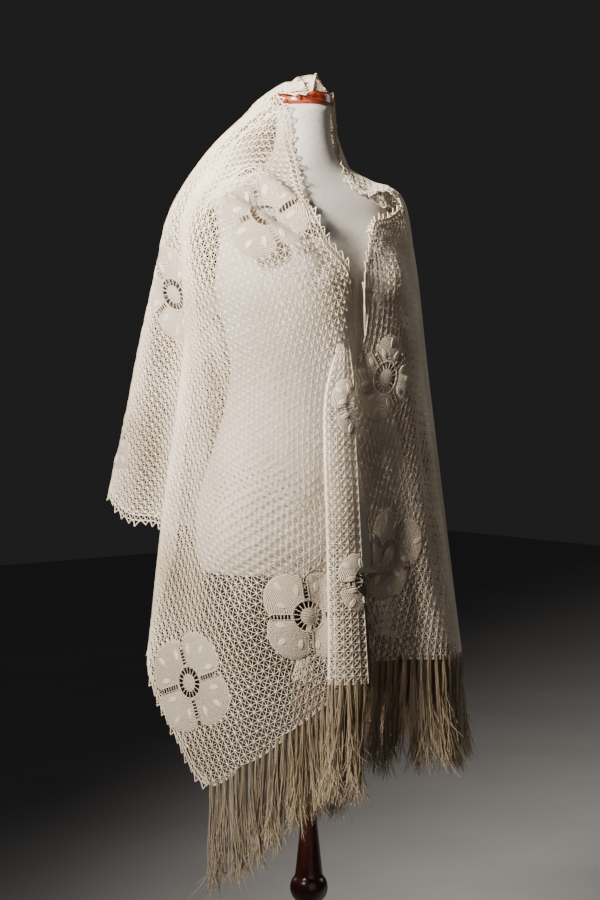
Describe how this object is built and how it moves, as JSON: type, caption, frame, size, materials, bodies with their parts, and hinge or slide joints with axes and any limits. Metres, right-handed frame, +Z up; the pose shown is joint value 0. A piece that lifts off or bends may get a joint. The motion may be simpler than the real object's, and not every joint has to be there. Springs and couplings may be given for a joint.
{
  "type": "lace shawl on a dress form",
  "caption": "Crocheted lace shawl with worked flowers and long fringe, drawn up over the neck of a limbless dress form on a turned wooden stand",
  "frame": {"origin": "on the floor at the centre of the stand base's underside, on the pole's axis", "axes": "+Z up along the pole, the form faces -Y, +X towards the form's left"},
  "size_m": [0.4898, 0.5616, 1.5714],
  "materials": {
    "lace": "ecru crochet thread, matte with a faint sheen",
    "flower": "densely worked ecru crochet",
    "fringe": "silky khaki ecru strands",
    "linen": "off-white linen stretched over the form",
    "cherry": "varnished cherry-red wood",
    "mahogany": "dark varnished mahogany"
  },
  "bodies": {
    "root": {"right_front": "lace", "front_fold": "lace", "inner_pleat": "lace", "right_sleeve": "lace", "back": "lace", "hood": "lace", "shoulder_roll": "lace", "left_side": "lace", "left_flank": "lace", "left_front": "lace", "flower_shoulder": "flower", "flower_sleeve": "flower", "flower_sleeve_low": "flower", "flower_corner": "flower", "flower_front_low": "flower", "flower_left_up": "flower", "flower_left_low": "flower", "flower_back": "flower", "flower_side": "flower", "fringe_right_front": "fringe", "fringe_front_fold": "fringe", "fringe_inner_pleat": "fringe", "fringe_left_side": "fringe", "fringe_left_front": "fringe", "dress_form": "linen", "neck_cap": "cherry", "stand_pole": "mahogany", "stand_base": "mahogany"}
  },
  "joints": []
}
